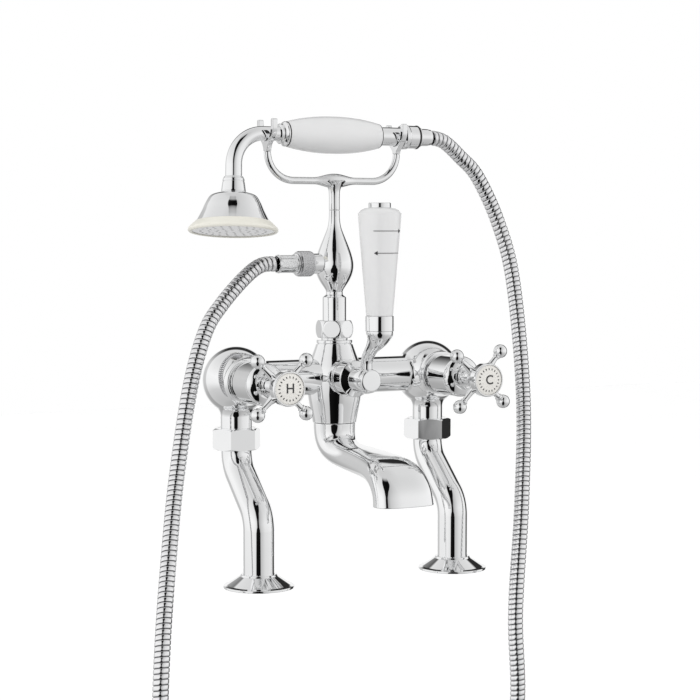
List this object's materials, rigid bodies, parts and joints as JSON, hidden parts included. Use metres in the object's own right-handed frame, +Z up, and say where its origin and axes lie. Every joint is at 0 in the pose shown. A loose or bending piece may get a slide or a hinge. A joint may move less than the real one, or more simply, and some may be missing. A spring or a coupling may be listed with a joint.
{
  "type": "bath shower mixer",
  "caption": "Deck-mounted bath shower mixer with cross-handle valves, a lever diverter, a downturned spout and a cradle holding a hand shower on a ribbed hose.",
  "frame": {"origin": "on the deck, midway between the centres of the legs", "axes": "+X from the hot leg to the cold leg, -Y towards the bath and the spout, +Z up"},
  "size_m": [0.378, 0.1575, 0.6868],
  "materials": {
    "chrome": "polished",
    "hose_metal": "polished, ribbed",
    "brass": "machined",
    "white_ceramic": "glazed white",
    "ivory_rim": "glossy ivory",
    "disc_ceramic": "lapped",
    "rubber": "matte"
  },
  "bodies": {
    "mixer": {"hot_foot": "chrome", "cold_foot": "chrome", "hot_leg": "chrome", "cold_leg": "chrome", "hot_union_nut": "chrome", "cold_union_nut": "chrome", "hot_union_washer": "rubber", "cold_union_washer": "rubber", "hot_valve_body": "chrome", "cold_valve_body": "chrome", "hot_crossbar": "chrome", "cold_crossbar": "chrome", "hot_cartridge": "brass", "cold_cartridge": "brass", "hot_fixed_disc": "disc_ceramic", "cold_fixed_disc": "disc_ceramic", "hot_shroud": "chrome", "cold_shroud": "chrome", "centre_body": "chrome", "diverter_cartridge": "brass", "diverter_bonnet": "chrome", "spout": "chrome", "riser_nut": "chrome", "riser_column": "chrome", "vase": "chrome", "cradle": "chrome", "front_fork": "chrome", "rear_fork": "chrome", "outlet_nut": "chrome", "outlet_ferrule": "chrome", "shower_hose": "hose_metal"},
    "hot_handle": {"hot_spindle": "brass", "hot_moving_disc": "disc_ceramic", "hot_handle": "chrome", "hot_index": "white_ceramic"},
    "cold_handle": {"cold_spindle": "brass", "cold_moving_disc": "disc_ceramic", "cold_handle": "chrome", "cold_index": "white_ceramic"},
    "diverter": {"diverter_spindle": "brass", "diverter_disc": "disc_ceramic", "lever_arm": "chrome", "lever_cap": "chrome", "lever_rod": "brass", "lever_grip": "white_ceramic", "lever_finial": "chrome"},
    "handset": {"handset_ferrule": "chrome", "handset_nut": "chrome", "handset_tail": "chrome", "handset_grip": "white_ceramic", "grip_ring": "chrome", "handset_neck": "chrome", "rose_nut": "chrome", "rose_bell": "chrome", "rose_rim": "ivory_rim", "rose_face": "chrome"}
  },
  "joints": [
    {"name": "hot_handle_turn", "type": "hinge", "parent": "mixer", "child": "hot_handle", "pos_m": [-0.09, -0.04, 0.163], "axis": [0, -1, 0], "range_deg": [0, 90]},
    {"name": "cold_handle_turn", "type": "hinge", "parent": "mixer", "child": "cold_handle", "pos_m": [0.09, -0.04, 0.163], "axis": [0, 1, 0], "range_deg": [0, 90]},
    {"name": "diverter_lever_swing", "type": "hinge", "parent": "mixer", "child": "diverter", "pos_m": [0, -0.01, 0.163], "axis": [0, 1, 0], "range_deg": [-45, 45]},
    {"name": "handset_lift", "type": "slide", "parent": "mixer", "child": "handset", "axis": [0, 0, 1], "range_m": [0, 0.04]}
  ]
}
